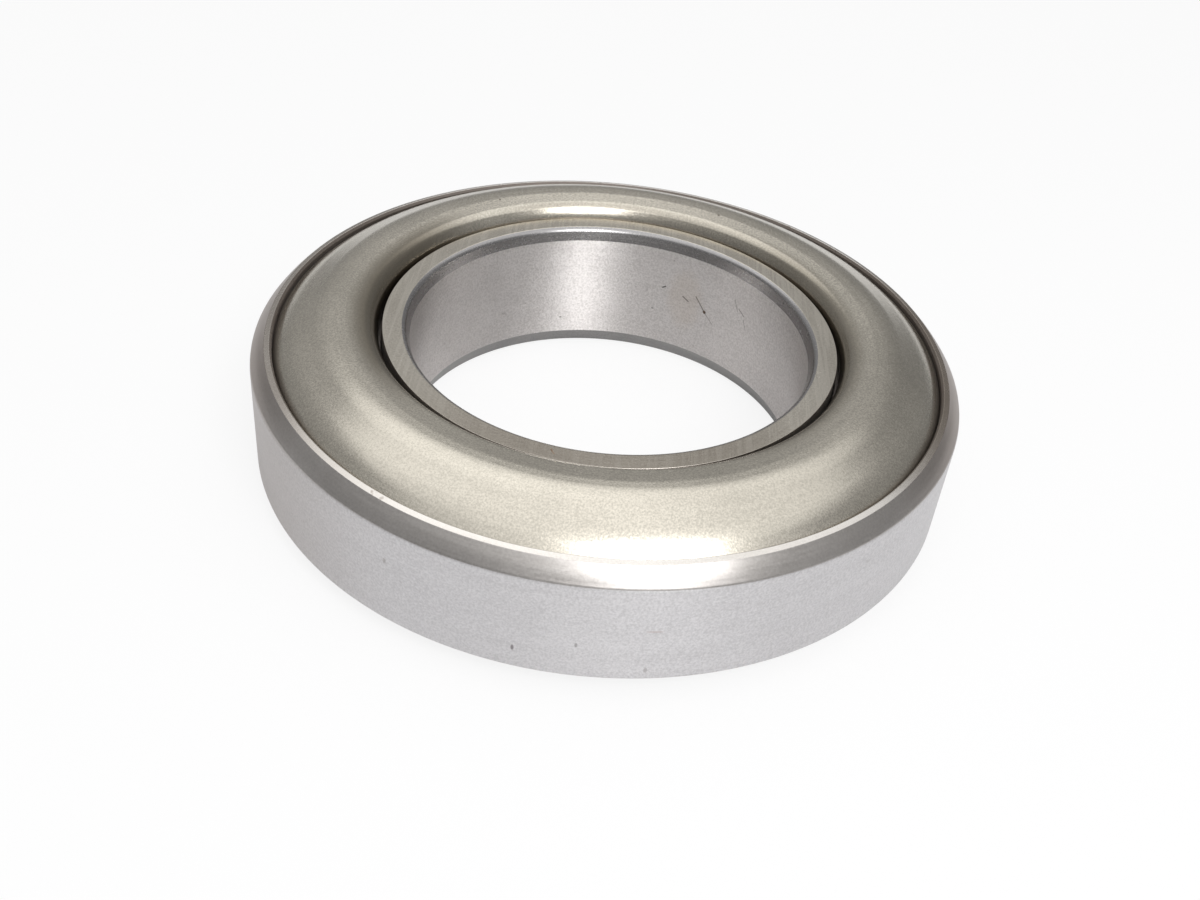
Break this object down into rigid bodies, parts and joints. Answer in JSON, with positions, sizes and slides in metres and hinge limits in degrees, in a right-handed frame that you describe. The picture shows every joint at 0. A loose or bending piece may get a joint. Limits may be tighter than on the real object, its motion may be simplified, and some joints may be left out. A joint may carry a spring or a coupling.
{
  "type": "clutch release bearing",
  "caption": "Clutch release ball bearing with a domed steel dust cover: the inner ring sits on the release sleeve and the turning outer ring's flat face pushes the clutch levers.",
  "frame": {"origin": "centre of the outer ring's flat contact face, on the bearing's axis", "axes": "+Z along the axis from the contact face to the domed cover; X and Y lie in the contact face, with a ball on +X"},
  "size_m": [0.097, 0.097, 0.0227],
  "materials": {
    "outer_steel": "ground, satin",
    "inner_steel": "ground, satin",
    "cover_steel": "pressed sheet, matt",
    "cage_steel": "pressed sheet, oiled",
    "ball_steel": "polished"
  },
  "bodies": {
    "inner": {"inner_ring": "inner_steel"},
    "outer": {"outer_ring": "outer_steel", "dust_cover": "cover_steel"},
    "cage": {"ball_cage": "cage_steel"},
    "ball_01": {"ball_01": "ball_steel"},
    "ball_02": {"ball_02": "ball_steel"},
    "ball_03": {"ball_03": "ball_steel"},
    "ball_04": {"ball_04": "ball_steel"},
    "ball_05": {"ball_05": "ball_steel"},
    "ball_06": {"ball_06": "ball_steel"},
    "ball_07": {"ball_07": "ball_steel"},
    "ball_08": {"ball_08": "ball_steel"},
    "ball_09": {"ball_09": "ball_steel"},
    "ball_10": {"ball_10": "ball_steel"},
    "ball_11": {"ball_11": "ball_steel"},
    "ball_12": {"ball_12": "ball_steel"},
    "ball_13": {"ball_13": "ball_steel"},
    "ball_14": {"ball_14": "ball_steel"},
    "ball_15": {"ball_15": "ball_steel"},
    "ball_16": {"ball_16": "ball_steel"}
  },
  "joints": [
    {"name": "outer_spin", "type": "hinge", "parent": "inner", "child": "outer", "pos_m": [0, 0, 0], "axis": [0, 0, 1], "continuous": true},
    {"name": "cage_spin", "type": "hinge", "parent": "inner", "child": "cage", "pos_m": [0, 0, 0], "axis": [0, 0, 1], "continuous": true},
    {"name": "ball_01_roll", "type": "hinge", "parent": "cage", "child": "ball_01", "pos_m": [0.038, 0, 0.00944], "axis": [0.6428, 0, 0.766], "continuous": true},
    {"name": "ball_02_roll", "type": "hinge", "parent": "cage", "child": "ball_02", "pos_m": [0.03511, 0.01454, 0.00944], "axis": [0.5939, 0.246, 0.766], "continuous": true},
    {"name": "ball_03_roll", "type": "hinge", "parent": "cage", "child": "ball_03", "pos_m": [0.02687, 0.02687, 0.00944], "axis": [0.4545, 0.4545, 0.766], "continuous": true},
    {"name": "ball_04_roll", "type": "hinge", "parent": "cage", "child": "ball_04", "pos_m": [0.01454, 0.03511, 0.00944], "axis": [0.246, 0.5939, 0.766], "continuous": true},
    {"name": "ball_05_roll", "type": "hinge", "parent": "cage", "child": "ball_05", "pos_m": [0, 0.038, 0.00944], "axis": [0, 0.6428, 0.766], "continuous": true},
    {"name": "ball_06_roll", "type": "hinge", "parent": "cage", "child": "ball_06", "pos_m": [-0.01454, 0.03511, 0.00944], "axis": [-0.246, 0.5939, 0.766], "continuous": true},
    {"name": "ball_07_roll", "type": "hinge", "parent": "cage", "child": "ball_07", "pos_m": [-0.02687, 0.02687, 0.00944], "axis": [-0.4545, 0.4545, 0.766], "continuous": true},
    {"name": "ball_08_roll", "type": "hinge", "parent": "cage", "child": "ball_08", "pos_m": [-0.03511, 0.01454, 0.00944], "axis": [-0.5939, 0.246, 0.766], "continuous": true},
    {"name": "ball_09_roll", "type": "hinge", "parent": "cage", "child": "ball_09", "pos_m": [-0.038, 0, 0.00944], "axis": [-0.6428, 0, 0.766], "continuous": true},
    {"name": "ball_10_roll", "type": "hinge", "parent": "cage", "child": "ball_10", "pos_m": [-0.03511, -0.01454, 0.00944], "axis": [-0.5939, -0.246, 0.766], "continuous": true},
    {"name": "ball_11_roll", "type": "hinge", "parent": "cage", "child": "ball_11", "pos_m": [-0.02687, -0.02687, 0.00944], "axis": [-0.4545, -0.4545, 0.766], "continuous": true},
    {"name": "ball_12_roll", "type": "hinge", "parent": "cage", "child": "ball_12", "pos_m": [-0.01454, -0.03511, 0.00944], "axis": [-0.246, -0.5939, 0.766], "continuous": true},
    {"name": "ball_13_roll", "type": "hinge", "parent": "cage", "child": "ball_13", "pos_m": [0, -0.038, 0.00944], "axis": [0, -0.6428, 0.766], "continuous": true},
    {"name": "ball_14_roll", "type": "hinge", "parent": "cage", "child": "ball_14", "pos_m": [0.01454, -0.03511, 0.00944], "axis": [0.246, -0.5939, 0.766], "continuous": true},
    {"name": "ball_15_roll", "type": "hinge", "parent": "cage", "child": "ball_15", "pos_m": [0.02687, -0.02687, 0.00944], "axis": [0.4545, -0.4545, 0.766], "continuous": true},
    {"name": "ball_16_roll", "type": "hinge", "parent": "cage", "child": "ball_16", "pos_m": [0.03511, -0.01454, 0.00944], "axis": [0.5939, -0.246, 0.766], "continuous": true}
  ],
  "couplings": [
    {"joint": "cage_spin", "follows": "outer_spin", "ratio": 0.55191},
    {"joint": "ball_01_roll", "follows": "outer_spin", "ratio": 3.6496},
    {"joint": "ball_02_roll", "follows": "outer_spin", "ratio": 3.6496},
    {"joint": "ball_03_roll", "follows": "outer_spin", "ratio": 3.6496},
    {"joint": "ball_04_roll", "follows": "outer_spin", "ratio": 3.6496},
    {"joint": "ball_05_roll", "follows": "outer_spin", "ratio": 3.6496},
    {"joint": "ball_06_roll", "follows": "outer_spin", "ratio": 3.6496},
    {"joint": "ball_07_roll", "follows": "outer_spin", "ratio": 3.6496},
    {"joint": "ball_08_roll", "follows": "outer_spin", "ratio": 3.6496},
    {"joint": "ball_09_roll", "follows": "outer_spin", "ratio": 3.6496},
    {"joint": "ball_10_roll", "follows": "outer_spin", "ratio": 3.6496},
    {"joint": "ball_11_roll", "follows": "outer_spin", "ratio": 3.6496},
    {"joint": "ball_12_roll", "follows": "outer_spin", "ratio": 3.6496},
    {"joint": "ball_13_roll", "follows": "outer_spin", "ratio": 3.6496},
    {"joint": "ball_14_roll", "follows": "outer_spin", "ratio": 3.6496},
    {"joint": "ball_15_roll", "follows": "outer_spin", "ratio": 3.6496},
    {"joint": "ball_16_roll", "follows": "outer_spin", "ratio": 3.6496}
  ]
}
